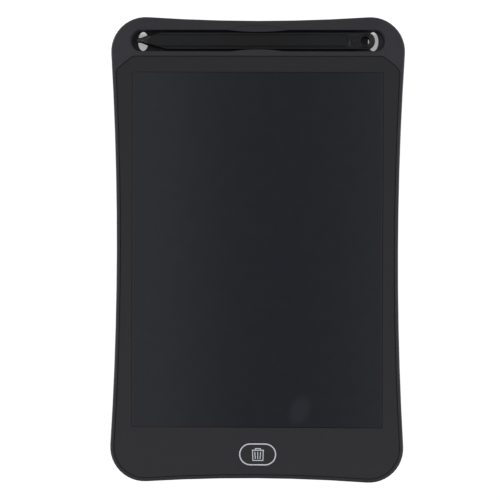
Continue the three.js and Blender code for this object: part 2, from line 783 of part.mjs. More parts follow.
function eraseKey() {
  const hollowTop = keyTop - keyRoof;
  const tabs = [-1, 1].map((side) => block(
    2 * keyTabLength, keyTabWidth, keyBottom, keyBottom + keyTabThickness, (side * keyLength) / 2,
  ));
  const hollow = stadium(keyLength - 2 * keyWall, keyWidth - 2 * keyWall);
  const post = disc(keyPostRadius, keyBottom, hollowTop + overrun);
  const cap = cut(
    joined([prism(stadium(keyLength, keyWidth), keyBottom, keyTop), ...tabs]),
    prism(hollow, keyBottom - overrun, hollowTop),
    sheetFrame(...keyRingOutlines(ringClearance), keyTop - ringDepth - ringClearance, keyTop + overrun),
  );
  return cap.add(post);
}

function eraseKeyRing() {
  return sheetFrame(...keyRingOutlines(0), keyTop - ringDepth, keyTop + ringProud);
}

function eraseSwitchBody() {
  const [from, to] = [boardFace, boardFace + switchHeight];
  return cut(
    prism(rectangle(switchSize, switchSize), from, to),
    disc(plungerRadius + plungerClearance, from - overrun, to + overrun),
  );
}

// Places a pitch apart, centred on zero
function evenly(count, pitch) {
  return Array.from({ length: count }, (_, k) => (k - (count - 1) / 2) * pitch);
}

// Board pieces, drawn from the board's top face up

function controlBoard() {
  const outline = roundedRectangle(boardLength, boardWidth, boardCorner);
  const holes = [-1, 1].map((side) =>
    disc(boardScrewHole, -boardThickness - overrun, overrun, side * boardScrewX, boardScrewDrop));
  return cut(prism(outline, -boardThickness, 0), ...holes);
}

function flexConnector() {
  const slotTop = connectorSlotRise + connectorSlotHeight;
  const slotY = connectorDepth - connectorSlotDepth / 2;
  return cut(
    block(connectorLength, connectorDepth, 0, connectorHeight, 0, connectorDepth / 2),
    block(
      flexWidth + connectorSlotHeight, connectorSlotDepth + overrun, connectorSlotRise, slotTop,
      0, slotY + overrun / 2,
    ),
  );
}

function controllerChip() {
  const legs = evenly(chipLegs, chipLegPitch).map((x) =>
    block(chipLegWidth, chipWidth + 2 * chipLegLength, 0, chipLegHeight, x));
  return joined([block(chipLength, chipWidth, chipStandOff, chipHeight), ...legs]);
}

function boostInductor() {
  const waist = inductorRadius - inductorWaist;
  return turned([
    [0, 0], [inductorRadius, 0], [inductorRadius, inductorFlange], [waist, inductorFlange],
    [waist, inductorHeight - inductorFlange], [inductorRadius, inductorHeight - inductorFlange],
    [inductorRadius, inductorHeight], [0, inductorHeight],
  ]);
}

function boostDiode() {
  return joined([
    block(diodeLength, diodeWidth, 0, diodeHeight),
    block(diodeLength + 2 * diodeTabLength, diodeWidth / 2, 0, diodeTabHeight),
  ]);
}

// A cross-head screw drawn down from the underside of its head
function screw(radius, length, headRadius, headHeight) {
  const depth = headHeight * recessShare;
  const arm = 2 * headRadius * recessShare;
  const width = headRadius * recessWidthShare;
  const tip = length - radius;
  const body = solidOf(turned([
    [0, -length], [radius / 2, -length], [radius, -tip], [radius, 0],
    [headRadius, 0], [headRadius, headHeight - headHeight / 3], [headRadius - headHeight / 3, headHeight],
    [0, headHeight],
  ]));
  return cut(
    body,
    block(arm, width, headHeight - depth, headHeight + overrun),
    block(width, arm, headHeight - depth, headHeight + overrun),
  );
}

// Lock slider pieces, drawn about the slider's place at rest

function lockSlider() {
  const ridges = evenly(sliderRidges, sliderRidgePitch).map((x) =>
    block(
      sliderRidgeWidth, sliderWidth + overrun, sliderRecess - overrun, sliderRecess + sliderRidgeDepth, x,
    ));
  return cut(
    joined([
      prism(stadium(sliderLength, sliderWidth), sliderRecess, flangeTop),
      block(sliderFlangeLength, sliderFlangeWidth, flangeBottom, flangeTop),
    ]),
    ...ridges,
    block(
      leverLength + 2 * leverClearance, leverWidth + 2 * leverClearance,
      flangeTop - leverDepth - leverClearance, flangeTop + overrun,
    ),
  );
}

function lockSwitchLever() {
  return block(leverLength, leverWidth, flangeTop - leverDepth, lockSwitchBottom + leverReach);
}

function lockSwitchBody() {
  const slot = block(
    leverLength + sliderTravel + 2 * leverClearance, leverWidth + 2 * leverClearance,
    lockSwitchBottom - overrun, lockSwitchBottom + leverReach + leverClearance, sliderTravel / 2,
  );
  const body = block(
    lockSwitchLength, lockSwitchWidth, lockSwitchBottom, boardBottom - layerGap, sliderTravel / 2,
  );
  return cut(body, slot);
}

// Battery pieces, drawn about the cell's centre line

function coinCell() {
  return turned([
    [0, 0], [cellRadius, 0], [cellRadius, cellHeight - cellStep / 2],
    [cellRadius - cellStep, cellHeight - cellStep / 2], [cellRadius - cellStep, cellHeight], [0, cellHeight],
  ]);
}

// Contact strips run out from a pad on the board; x is measured from the cell's centre
function contactRoute(bridge) {
  const padEnd = boardLength / 2 - contactPadInset - cellX;
  const low = boardFace + contactThickness / 2;
  return [point(padEnd - contactPad, low), point(padEnd, low), point(padEnd + contactRamp, bridge)];
}

function negativeContact() {
  const bridge = cellTop + contactOverCell + contactThickness / 2;
  const route = [...contactRoute(bridge), point(contactPastCentre, bridge)];
  return bentStrip(route, contactThickness, negativeWidth);
}

function positiveContact() {
  const bridge = wellTop + positiveRise;
  const drop = -cellRadius - contactThickness;
  const route = [...contactRoute(bridge), point(drop, bridge), point(drop, padTop + contactNotch)];
  return bentStrip(route, contactThickness, positiveWidth);
}

function batteryDoor() {
  const outline = roundedRectangle(
    doorLength - 2 * doorClearance, doorWidth - 2 * doorClearance, doorCorner - doorClearance,
  );
  const bossX = doorScrewX - cellX;
  const bore = doorScrewHeadRadius + doorCounterboreClearance;
  const plate = prism(outline, doorRecess, doorTop, doorX - cellX);
  return cut(
    plate.add(disc(doorBossRadius, doorRecess, doorBossTop, bossX)),
    disc(bore, -overrun, doorScrewSeat, bossX),
    disc(doorScrewRadius + doorCounterboreClearance, 0, doorBossTop + overrun, bossX),
  );
}

// Stylus pieces, drawn along X about the middle of the stylus

function stylusSection(widthShare, thicknessShare) {
  const right = stylusSectionShares.map(([across, up]) =>
    point((across * widthShare * stylusWidth) / 2, (up * thicknessShare * stylusThickness) / 2));
  return [...right, ...right.map(({ x, y }) => point(-x, y)).reverse()];
}

function stylusBody() {
  const start = -stylusLength / 2 + nibLength;
  const tailRadius = stylusWidth / 2;
  const tailX = stylusLength / 2 - tailRadius;
  const stations = stylusTaperShares.map(([along, across, up]) =>
    [start + along * taperLength, stylusSection(across, up)]);
  for (let k = 0; k < tailSteps; k += 1) {
    const angle = ((Math.PI / 2) * k) / tailSteps;
    stations.push([tailX + tailRadius * Math.sin(angle), stylusSection(Math.cos(angle), 1)]);
  }
  const along = loft(stations.map(([, section]) => section), stations.map(([x]) => x));
  const turn = new THREE.Matrix4().makeBasis(
    new THREE.Vector3(0, 1, 0), new THREE.Vector3(0, 0, 1), new THREE.Vector3(1, 0, 0),
  );
  const barrel = solidOf(along.applyMatrix4(turn));
  const top = stylusThickness / 2;
  const end = stylusLength / 2;
  const holeX = end - lanyardFromEnd;
  const bore = solidOf(turned([
    [0, -overrun], [nibShankRadius + nibBoreClearance, -overrun],
    [nibShankRadius + nibBoreClearance, nibShankLength + nibBoreClearance],
    [0, nibShankLength + nibBoreClearance],
  ]).rotateY(Math.PI / 2).translate(start, 0, 0));
  const collar = disc(lanyardCollarRadius, top - collarRootDepth, top + lanyardCollarHeight, holeX);
  const rib = block(
    gripRibWidth, stylusWidth * gripRibShare, top - collarRootDepth, top + gripRibHeight,
    end - gripRibFromEnd,
  );
  return cut(
    joined([barrel, collar, rib]),
    disc(lanyardHoleRadius, -top - overrun, top + lanyardCollarHeight + overrun, holeX),
    block(gripGrooveWidth, stylusWidth, top - gripGrooveDepth, top + overrun, end - gripGrooveFromEnd),
    bore,
  );
}

function stylusNib() {
  const tip = nibRadius / 2;
  return turned([
    [0, -nibLength], [tip, -nibLength + tip / 2], [nibRadius, -nibLength + nibRadius],
    [nibRadius, -nibBoreClearance], [nibShankRadius, -nibBoreClearance],
    [nibShankRadius, nibShankLength], [0, nibShankLength],
  ]).rotateY(Math.PI / 2);
}

// Assembly

function piece(name, shape, finish, x = 0, y = 0, z = 0) {
  const geometry = shape.isBufferGeometry ? shape : geometryOf(shape);
  const mesh = new THREE.Mesh(geometry, new THREE.MeshStandardMaterial(finishes[finish]));
  mesh.name = name;
  mesh.position.set(x, y, z);
  return mesh;
}

function group(x, y, z, ...children) {
  const holder = new THREE.Group();
  holder.position.set(x, y, z);
  holder.add(...children);
  return holder;
}

// A strip drawn in X and Y and extruded along Z, laid so that its drawing stands in a vertical plane
function standing(geometry) {
  return geometry.rotateX(Math.PI / 2);
}

const housing = group(
  0, 0, 0,
  piece('front_frame', frontFrame(), 'housing'),
  piece('rear_cover', rearCover(), 'cover'),
  piece('bezel_adhesive', bezelAdhesive(), 'adhesive', 0, 0, filmSeat + layerGap),
  piece('bezel_film', bezelFilm(), 'film', 0, 0, filmBottom),
);

const display = group(
  0, windowY, 0,
  piece('lcd_mounting_tape', mountingTape(), 'tape', 0, 0, displaySeat + layerGap),
  piece('lcd_panel', lcdPanel(), 'display', 0, 0, displayBottom),
);

const flex = piece('lcd_flex_tail', standing(flexTail()).rotateZ(Math.PI / 2), 'flex');

const onBoard = ([alongShare, acrossShare]) =>
  [(boardLength / 2) * alongShare, (boardWidth / 2) * acrossShare];
const boardScrewLength = boardFace - screwSkin - screwClearance;
const boardScrew = () =>
  screw(boardScrewRadius, boardScrewLength, boardScrewHeadRadius, boardScrewHeadHeight);
const electronics = group(
  0, boardY, boardFace,
  piece('control_board', controlBoard(), 'board', 0, 0, -layerGap),
  piece(
    'flex_connector', flexConnector(), 'whitePlastic',
    0, boardWidth / 2 - boardUpperMargin - connectorDepth,
  ),
  piece('controller_chip', controllerChip(), 'blackPlastic', ...onBoard(chipShares)),
  piece('boost_inductor', boostInductor(), 'ferrite', ...onBoard(inductorShares)),
  piece('boost_diode', boostDiode(), 'blackPlastic', ...onBoard(diodeShares)),
  ...capacitorShares.map((shares, k) => piece(
    `storage_capacitor_${k + 1}`, block(capacitorLength, capacitorWidth, 0, capacitorHeight), 'ceramic',
    ...onBoard(shares),
  )),
  piece('board_screw_left', boardScrew(), 'steel', -boardScrewX, boardScrewDrop),
  piece('board_screw_right', boardScrew(), 'steel', boardScrewX, boardScrewDrop),
);

const plunger = disc(plungerRadius, plungerBottom, plungerTop);
const key = group(
  keyX, keyY, 0,
  piece('erase_key', eraseKey(), 'film'),
  piece('erase_key_ring', eraseKeyRing(), 'ring'),
  piece('erase_switch_plunger', plunger, 'blackPlastic'),
  piece('erase_switch_body', eraseSwitchBody(), 'steel'),
);

const lock = group(
  lockX, lockY, 0,
  piece('lock_slider', lockSlider(), 'blackPlastic'),
  piece('lock_switch_lever', lockSwitchLever(), 'blackPlastic'),
  piece('lock_switch_body', lockSwitchBody(), 'steel'),
);

const doorScrewLength = coverBossLevel - doorScrewSeat - screwTipGap;
const doorScrew = screw(doorScrewRadius, doorScrewLength, doorScrewHeadRadius, doorScrewHeadHeight);
const battery = group(
  cellX, cellY, 0,
  piece('coin_cell', coinCell(), 'steel', 0, 0, cellBottom),
  piece('battery_contact_negative', standing(negativeContact()), 'steel', 0, negativeShift),
  piece('battery_contact_positive', standing(positiveContact()), 'steel', 0, positiveShift),
  piece('battery_door', batteryDoor(), 'cover'),
  piece(
    'battery_door_screw', geometryOf(doorScrew).rotateX(Math.PI), 'steel',
    doorScrewX - cellX, 0, doorScrewSeat - layerGap,
  ),
);

const stylus = group(
  stylusX, stylusY, stylusZ,
  piece('stylus_body', stylusBody(), 'stylus'),
  piece('stylus_nib', stylusNib(), 'nib', -stylusLength / 2 + nibLength),
);

const tablet = new THREE.Group();
tablet.add(housing, display, flex, electronics, key, lock, battery, stylus);

export default tablet;
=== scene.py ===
# An LCD writing tablet lying on its back, with its stylus in the bay along the top edge.
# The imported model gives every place. Sizes are metres, written as millimetres times MM, apart from
# the sizes in materials and profiles, which are plain millimetres.

import json
import math

import bmesh
import bpy
from mathutils import Matrix, Vector


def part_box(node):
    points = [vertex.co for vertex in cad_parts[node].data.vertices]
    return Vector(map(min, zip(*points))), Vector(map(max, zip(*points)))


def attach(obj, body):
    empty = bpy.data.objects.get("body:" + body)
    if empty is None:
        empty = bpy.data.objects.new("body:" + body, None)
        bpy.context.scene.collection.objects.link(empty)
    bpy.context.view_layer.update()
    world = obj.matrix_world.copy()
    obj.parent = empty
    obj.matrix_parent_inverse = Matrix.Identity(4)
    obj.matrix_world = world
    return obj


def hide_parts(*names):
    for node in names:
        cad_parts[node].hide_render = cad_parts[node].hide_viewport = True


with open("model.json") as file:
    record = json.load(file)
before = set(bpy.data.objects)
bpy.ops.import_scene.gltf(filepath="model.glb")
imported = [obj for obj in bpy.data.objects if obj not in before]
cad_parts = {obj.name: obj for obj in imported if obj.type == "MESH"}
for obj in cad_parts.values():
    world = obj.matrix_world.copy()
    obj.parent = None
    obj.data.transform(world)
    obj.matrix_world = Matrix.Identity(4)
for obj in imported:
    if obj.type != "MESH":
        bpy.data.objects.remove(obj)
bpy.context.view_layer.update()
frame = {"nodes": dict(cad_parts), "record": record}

MM = 0.001


# Materials

# Limits are distances from the tablet's middle, between which a tone changes. A gain below 1 makes a
# tone darker and one above 1 paler. Real grains are a few hundredths of a millimetre, too fine to show
# at the photograph's size, so every patch and grain is drawn as coarse as it needs to show

# The stretch of its noise over which a mottled colour goes from dark to light
mottle_limits = (0.36, 0.64)
noise_roughness = 0.6
grain_roughness = 0.7

# The housing: its patches, its grain, and how near and how strongly painted shade darkens its seams
housing_patch = 1.6
housing_grain = 0.4
housing_grain_depth = 0.012
seam_reach = 1
seam_shade = 0.8
seam_shade_samples = 6
# The housing turns paler towards its long sides: a painted highlight, for the light its shoulders catch
side_limits = (56.0, 64.0)
side_highlight_gain = 1.25
# The bay's round ends: the bay's middle, how far from it they start, their radius, and a level
# just under the bay's floor
bay_middle = (-0.05, 103.15, 0.0)
bay_straight_half = 57.75
bay_end_radius = 5.4
bay_floor_level = 1.2
# Where the tone beyond the nib gives way to the one beside it, and the nib's half of the bay to the tail's
nib_limits = (-60.5, -58.0)
half_limits = (-1.0, 1.0)
# Gains of painted light and shade inside the bay's round ends: beyond the nib, beside it and at the tail.
# Below 1 they paint the shade in the deep ends, above 1 the light that reaches the floor. The last value is
# how much of the bay's straight floor beside its ends has them too
front_end_shade_gains = (0.25, 0.25, 0.25)
rear_end_light_and_shade = (1.3, 0.35, 4.5)
rear_end_run = 9.0

# The border film, darker near the bay and paler near the key: painted light, for how the light falls along
# it
film_patch = 0.9
film_grain = 0.5
film_grain_depth = 0.006
film_limits = (95.0, -110.0)
film_light_gains = (0.69, 1.2)

# The writing window: how much of the display the film hides on each side, the pale seal along the
# long sides and the shadow of the film's edge. The shares say how much of their width doesn't fade
display_overlap = 2.9
seal_width = 1.2
seal_share = 0.9
shadow_width = 0.5
shadow_share = 0.3
display_patch = 7
display_grain = 0.7
display_grain_depth = 0.002
# A painted glare, a faint pale reflection low in the window: its middle, half sizes, turn and even core
glare_place = (21.3, -79.3, 6.4)
glare_size = (6.1, 9.2, 100.0)
glare_turn = math.radians(-24)
glare_core = 0.5

# The stylus: its streaks are stretched along it, it is darker at mid-length, and its flank towards
# the tablet's end is painted paler, a painted highlight
streak_patch = 0.8
streak_stretch = (0.06, 1, 1)
streak_grain = 0.5
streak_grain_depth = 0.01
middle_limits = (8.0, 32.0)
middle_gain = 0.5
flank_limits = (106.0, 106.5)
flank_highlight_gain = 2.4

# The board's copper under its mask: the width, length and spacing of its lines, how far each row is
# shifted as a share of the length, and how high it stands. The lead's wave repeats every millimetre
copper_line = 0.12
copper_length = 3.2
copper_pitch = 1.1
copper_shift = 0.37
copper_height = 0.03
lead_wave_scale = 0.32
lead_track_height = 0.02


def linear(code):
    """A hex sRGB colour as linear RGBA."""
    channels = [int(code[k:k + 2], 16) / 255 for k in (0, 2, 4)]
    return [c / 12.92 if c <= 0.04045 else ((c + 0.055) / 1.055) ** 2.4 for c in channels] + [1]


def add(tree, kind, links=None, **settings):
    """Adds a shader node with its settings, and links or fills its sockets. A node that is given as
    a link stands for its first output."""
    node = tree.nodes.new("ShaderNode" + kind)
    for name, value in settings.items():
        setattr(node, name, value)
    for socket, value in (links or {}).items():
        if isinstance(value, bpy.types.Node):
            value = value.outputs[0]
        if isinstance(value, bpy.types.NodeSocket):
            tree.links.new(value, node.inputs[socket])
        else:
            node.inputs[socket].default_value = value
    return node


def new_finish(name, **sockets):
    """Starts a material: the material, its tree, its shader and a point's place in millimetres."""
    material = bpy.data.materials.new(name)
    material.use_nodes = True
    tree = material.node_tree
    shader = tree.nodes["Principled BSDF"]
    for socket, value in sockets.items():
        shader.inputs[socket.replace("_", " ")].default_value = value
    metres = add(tree, "TexCoord").outputs["Object"]
    place = add(tree, "VectorMath", {0: metres, "Scale": 1 / MM}, operation="SCALE")
    return material, tree, shader, place


def mottled(tree, place, size, dark, light):
    """A colour that wanders between two tones, in patches of a size in millimetres."""
    noise = add(tree, "TexNoise", {
        "Vector": place, "Scale": 1 / size, "Detail": 3, "Roughness": noise_roughness,
    })
    ramp = add(tree, "ValToRGB", {"Fac": noise.outputs["Fac"]})
    for element, position, tone in zip(ramp.color_ramp.elements, mottle_limits, (dark, light)):
        element.position = position
        element.color = linear(tone)
    return ramp.outputs["Color"]


def toned(tree, colour, value, limits, gains):
    """A colour that goes from one gain to another as a value goes between two limits."""
    gain = add(tree, "MapRange", {
        "Value": value, "From Min": limits[0], "From Max": limits[1], "To Min": gains[0], "To Max": gains[1],
    })
    return add(tree, "VectorMath", {0: colour, "Scale": gain}, operation="SCALE").outputs["Vector"]


def surfaced(tree, shader, colour, height, depth):
    """Gives a shader its colour, and the bumps of a height pattern with their depth in millimetres."""
    bump = add(tree, "Bump", {"Height": height, "Distance": depth * MM})
    tree.links.new(bump.outputs["Normal"], shader.inputs["Normal"])
    tree.links.new(colour, shader.inputs["Base Color"])


def grained(tree, shader, colour, place, size, depth):
    """Gives a shader its colour and a bumpy grain of a size and depth in millimetres."""
    noise = add(tree, "TexNoise", {
        "Vector": place, "Scale": 1 / size, "Detail": 4, "Roughness": grain_roughness,
    })
    surfaced(tree, shader, colour, noise.outputs["Fac"], depth)


def in_bay_ends(tree, place, run):
    """1 inside the bay's round ends and a run of the straight part beside them, and 0 elsewhere."""
    centred = add(tree, "Mapping", {"Vector": place, "Location": [-part for part in bay_middle]})
    parts = add(tree, "SeparateXYZ", {"Vector": centred}).outputs
    aside = add(tree, "Math", {0: parts["X"]}, operation="ABSOLUTE")
    reach = add(tree, "Math", {0: aside, 1: bay_straight_half}, operation="SUBTRACT")
    past = add(tree, "Math", {0: reach, 1: 0.0}, operation="MAXIMUM")
    spread = add(tree, "CombineXYZ", {"X": past, "Y": parts["Y"]})
    distance = add(tree, "VectorMath", {0: spread}, operation="LENGTH").outputs["Value"]
    beyond = add(tree, "Math", {0: reach, 1: -run}, operation="GREATER_THAN")
    inside = add(tree, "Math", {0: distance, 1: bay_end_radius}, operation="LESS_THAN")
    above = add(tree, "Math", {0: parts["Z"], 1: bay_floor_level}, operation="GREATER_THAN")
    ends = add(tree, "Math", {0: beyond, 1: inside}, operation="MULTIPLY")
    return add(tree, "Math", {0: ends, 1: above}, operation="MULTIPLY")


def eroded_abs(name, dark, light, end_light_and_shade, run=0.0):
    """Moulded ABS from a spark-eroded mould: dull, with an even sparkle, painted shade in its seams and a
    painted highlight towards its long sides. The real sparkle is too fine to show, so it is drawn coarser.
    The bay's round ends have painted light and shade of their own."""
    material, tree, shader, place = new_finish(name, Roughness=0.55, IOR=1.5)
    beyond_nib, beside_nib, at_tail = end_light_and_shade
    lengthways = add(tree, "SeparateXYZ", {"Vector": place}).outputs["X"]
    aside = add(tree, "Math", {0: lengthways}, operation="ABSOLUTE")
    # Painted highlight: the housing is painted paler towards its long sides
    sides = add(tree, "MapRange", {
        "Value": aside, "From Min": side_limits[0], "From Max": side_limits[1],
        "To Min": 1.0, "To Max": side_highlight_gain,
    })
    nib_half = add(tree, "MapRange", {
        "Value": lengthways, "From Min": nib_limits[0], "From Max": nib_limits[1],
        "To Min": beyond_nib - 1, "To Max": beside_nib - 1,
    })
    tail_half = add(tree, "MapRange", {
        "Value": lengthways, "From Min": half_limits[0], "From Max": half_limits[1],
    })
    # Painted light and shade in the bay's round ends: gains below 1 paint shade, above 1 the light on their
    # floor
    ends = add(tree, "Math", {0: tail_half, 1: at_tail - beside_nib, 2: nib_half}, operation="MULTIPLY_ADD")
    gain = add(tree, "Math", {0: in_bay_ends(tree, place, run), 1: ends, 2: sides}, operation="MULTIPLY_ADD")
    plain = mottled(tree, place, housing_patch, dark, light)
    colour = add(tree, "VectorMath", {0: plain, "Scale": gain}, operation="SCALE")
    # Painted shade: the colour darkens where nearby surfaces close in, in seams, gaps and recesses
    openness = add(tree, "AmbientOcclusion", {"Distance": seam_reach * MM}, samples=seam_shade_samples)
    seam_shaded = toned(tree, colour, openness.outputs["AO"], (0.0, 1.0), (1 - seam_shade, 1.0))
    grained(tree, shader, seam_shaded, place, housing_grain, housing_grain_depth)
    return material


def printed_film(name):
    """PET film printed black underneath, with a matt hard coat: flat, with a fine even grain."""
    material, tree, shader, place = new_finish(name, Roughness=0.5, IOR=1.5)
    lengthways = add(tree, "SeparateXYZ", {"Vector": place}).outputs["Y"]
    # Painted light: the film is painted darker near the bay and paler near the key
    colour = toned(
        tree, mottled(tree, place, film_patch, "202023", "242427"), lengthways, film_limits, film_light_gains,
    )
    grained(tree, shader, colour, place, film_grain, film_grain_depth)
    return material


def crystal_display(name):
    """Clear PET over a dark liquid crystal: a satin blue-black face under a paler seal, the window's
    edge shadow along three sides, and a faint painted glare."""
    material, tree, shader, place = new_finish(name, Roughness=0.2, IOR=1.5)
    low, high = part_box("lcd_panel")
    middle = (low + high) / 2 / MM
    half = (high - low) / 2 / MM - Vector((1, 1, 0)) * display_overlap
    centred = add(tree, "Mapping", {"Vector": place, "Location": (-middle.x, -middle.y, 0)})
    parts = add(tree, "SeparateXYZ", {"Vector": centred}).outputs
    aside = add(tree, "Math", {0: parts["X"]}, operation="ABSOLUTE")
    side_room = add(tree, "Math", {0: half.x, 1: aside}, operation="SUBTRACT")
    end_room = add(tree, "Math", {0: parts["Y"], 1: half.y}, operation="ADD")
    edge_room = add(tree, "Math", {0: side_room, 1: end_room}, operation="MINIMUM")
    around_glare = add(tree, "Mapping", {
        "Vector": place, "Location": glare_place, "Rotation": (0, 0, glare_turn),
        "Scale": glare_size,
    }, vector_type="TEXTURE")
    glare_distance = add(tree, "VectorMath", {0: around_glare}, operation="LENGTH").outputs["Value"]
    layers = mottled(tree, place, display_patch, "1e2026", "202228")
    # Each layer has the measure that it goes by, where it starts to fade, where it ends, and its tone
    for measure, fading, end, tone in (
        # The painted glare, the pale seal and the painted shadow of the film's edge
        (glare_distance, glare_core, 1.0, "292b31"),
        (side_room, seal_share * seal_width, seal_width, "2a262c"),
        (edge_room, shadow_share * shadow_width, shadow_width, "131217"),
    ):
        share = add(tree, "MapRange", {"Value": measure, "From Min": fading, "From Max": end})
        layer = add(tree, "Mix", {"Factor": share, "A": linear(tone), "B": layers}, data_type="RGBA")
        layers = layer.outputs["Result"]
    grained(tree, shader, layers, place, display_grain, display_grain_depth)
    return material


def handled_abs(name):
    """Plain moulded ABS, half glossy, with faint lengthwise streaks from sliding in and out."""
    material, tree, shader, place = new_finish(name, Roughness=0.33, IOR=1.5)
    drawn = add(tree, "Mapping", {"Vector": place, "Scale": streak_stretch})
    parts = add(tree, "SeparateXYZ", {"Vector": place}).outputs
    aside = add(tree, "Math", {0: parts["X"]}, operation="ABSOLUTE")
    streaks = mottled(tree, drawn, streak_patch, "0e0f11", "141517")
    darker_middle = toned(tree, streaks, aside, middle_limits, (middle_gain, 1.0))
    # Painted highlight: the flank towards the tablet's end is painted paler
    colour = toned(tree, darker_middle, parts["Y"], flank_limits, (1.0, flank_highlight_gain))
    grained(tree, shader, colour, drawn, streak_grain, streak_grain_depth)
    return material


def solder_mask(name):
    """Green solder mask on glass epoxy: the copper under it shows as paler tracks."""
    material, tree, shader, place = new_finish(name, Roughness=0.35, IOR=1.5)
    tracks = add(tree, "TexBrick", {
        "Vector": place, "Color1": linear("1b5231"), "Color2": linear("1d5735"),
        "Mortar": linear("2f7a4a"), "Scale": 1.0, "Mortar Size": copper_line,
        "Brick Width": copper_length, "Row Height": copper_pitch,
    }, offset=copper_shift)
    surfaced(tree, shader, tracks.outputs["Color"], tracks.outputs["Fac"], copper_height)
    return material


def tracked_film(name):
    """Amber polyimide film over copper tracks that run along the lead."""
    material, tree, shader, place = new_finish(name, Roughness=0.3, IOR=1.6)
    tracks = add(tree, "TexWave", {
        "Vector": place, "Scale": lead_wave_scale, "Distortion": 0.0, "Detail": 0.0,
    }, bands_direction="X")
    colour = add(tree, "Mix", {
        "Factor": tracks.outputs["Fac"], "A": linear("8e5417"), "B": linear("c98a3c"),
    }, data_type="RGBA")
    surfaced(tree, shader, colour.outputs["Result"], tracks.outputs["Fac"], lead_track_height)
    return material


def plain_surface(name, dark, light, patch, grain, depth, **sockets):
    """A finish with one mottled colour and one grain, whose sizes are in millimetres."""
    material, tree, shader, place = new_finish(name, **sockets)
    grained(tree, shader, mottled(tree, place, patch, dark, light), place, grain, depth)
    return material


finishes = {
    "front_housing": eroded_abs("abs_eroded_front", "242329", "28272d", front_end_shade_gains),
    "rear_housing": eroded_abs("abs_eroded_rear", "222126", "26252a", rear_end_light_and_shade, rear_end_run),
    "border_film": printed_film("pet_film_printed"),
    # Coated acrylic adhesive: milky grey and dull
    "adhesive": plain_surface(
        "acrylic_adhesive", "84847f", "929290", patch=0.5, grain=0.5, depth=0.01, Roughness=0.7,
    ),
    # Cut foam tape: black, with open cells that swallow the light
    "tape": plain_surface(
        "foam_tape_black", "181818", "222222", patch=0.3, grain=0.3, depth=0.03, Roughness=0.85,
    ),
    "display": crystal_display("pet_over_liquid_crystal"),
    # Screen-printed ink: silver-white and very slightly uneven
    "key_ring": plain_surface(
        "ink_screen_printed", "d0d4dc", "dde0e7", patch=0.5, grain=0.2, depth=0.002, Roughness=0.45, IOR=1.5,
    ),
    "stylus_black": handled_abs("abs_half_gloss"),
    # Turned POM: dark and waxy, with a faint fine grain
    "nib_black": plain_surface(
        "pom_turned", "2c2d2f", "37383a", patch=0.6, grain=0.25, depth=0.004, Roughness=0.38, IOR=1.48,
    ),
    "board_green": solder_mask("glass_epoxy_masked"),
    # Moulded epoxy: black, with the fine pits of its filler
    "black_plastic": plain_surface(
        "epoxy_moulded_black", "131313", "1b1b1b", patch=0.3, grain=0.3, depth=0.006, Roughness=0.5,
    ),
    # Moulded nylon: off-white and smooth, with a dull gloss
    "white_plastic": plain_surface(
        "nylon_moulded_white", "d2cfc5", "dcd9d0", patch=0.4, grain=0.4, depth=0.006, Roughness=0.5,
    ),
    "flex_film": tracked_film("polyimide_film"),
    # Sintered ferrite: dark grey and grainy
    "ferrite": plain_surface(
        "ferrite_sintered", "313133", "454547", patch=0.2, grain=0.2, depth=0.015, Roughness=0.6,
    ),
    # Fired ceramic: light brown and eggshell dull
    "ceramic": plain_surface(
        "ceramic_fired", "98795c", "a88c70", patch=0.2, grain=0.2, depth=0.008, Roughness=0.5,
    ),
    # Nickel-plated steel: a soft grey shine, faintly uneven
    "steel": plain_surface(
        "steel_nickel_plated", "a9abad", "bcbec0", patch=0.35, grain=0.35, depth=0.003, Roughness=0.32,
        Metallic=1.0,
    ),
}


# Ways of working that every piece shares

# Points nearer than this are one point, faces this flat are one face, and edges sharper than the last
# angle are rounded
merge_distance = 0.001 * MM
flat_angle = math.radians(0.4)
edge_angle = math.radians(30)
# The turns that lay an upright rod down: to the right, towards the bay and towards the key
rightwards = (0, math.pi / 2, 0)
baywards = (-math.pi / 2, 0, 0)
keywards = (math.pi / 2, 0, 0)


def start(name, primitive, **settings):
    """Adds a primitive under a name and opens it in edit mode, with all of it selected."""
    bpy.ops.object.select_all(action="DESELECT")
    primitive(**settings)
    piece = bpy.context.object
    piece.name = name
    bpy.ops.object.mode_set(mode="EDIT")
    bpy.ops.mesh.select_mode(type="VERT")
    bpy.ops.mesh.select_all(action="SELECT")
    return piece


def take(piece):
    """Makes a piece the only selected one, and the one that operators act on."""
    bpy.ops.object.select_all(action="DESELECT")
    piece.select_set(True)
    bpy.context.view_layer.objects.active = piece


def select_points(piece, wanted):
    """In edit mode, selects only the points whose place is wanted."""
    mesh = bmesh.from_edit_mesh(piece.data)
    bpy.ops.mesh.select_mode(type="VERT")
    bpy.ops.mesh.select_all(action="DESELECT")
    for point in mesh.verts:
        point.select = bool(wanted(piece.matrix_world @ point.co))
    mesh.select_flush_mode()
    bmesh.update_edit_mesh(piece.data)


def close(piece):
    """Leaves edit mode and puts the piece's place into its mesh."""
    bpy.ops.object.mode_set(mode="OBJECT")
    take(piece)
    bpy.ops.object.transform_apply(location=True, rotation=True, scale=True)
    return piece


def modify(piece, kind, live=False, **settings):
    """Adds a modifier with its settings, and applies it unless it stays live."""
    modifier = piece.modifiers.new(kind.lower(), kind)
    for name, value in settings.items():
        setattr(modifier, name, value)
    if not live:
        take(piece)
        bpy.ops.object.modifier_apply(modifier=modifier.name)


def combine(piece, tool, operation):
    """Cuts, joins or trims a piece with another, which is used up."""
    modify(piece, "BOOLEAN", object=tool, operation=operation, solver="EXACT")
    bpy.data.objects.remove(tool)


def rounded_edges(piece, width, live=False):
    """Rounds every real edge and keeps the flat faces shading flat."""
    modify(
        piece, "BEVEL", live, width=width, segments=2, limit_method="ANGLE",
        angle_limit=edge_angle, use_clamp_overlap=True, miter_outer="MITER_ARC",
    )
    modify(piece, "WEIGHTED_NORMAL", live, keep_sharp=False, weight=80)


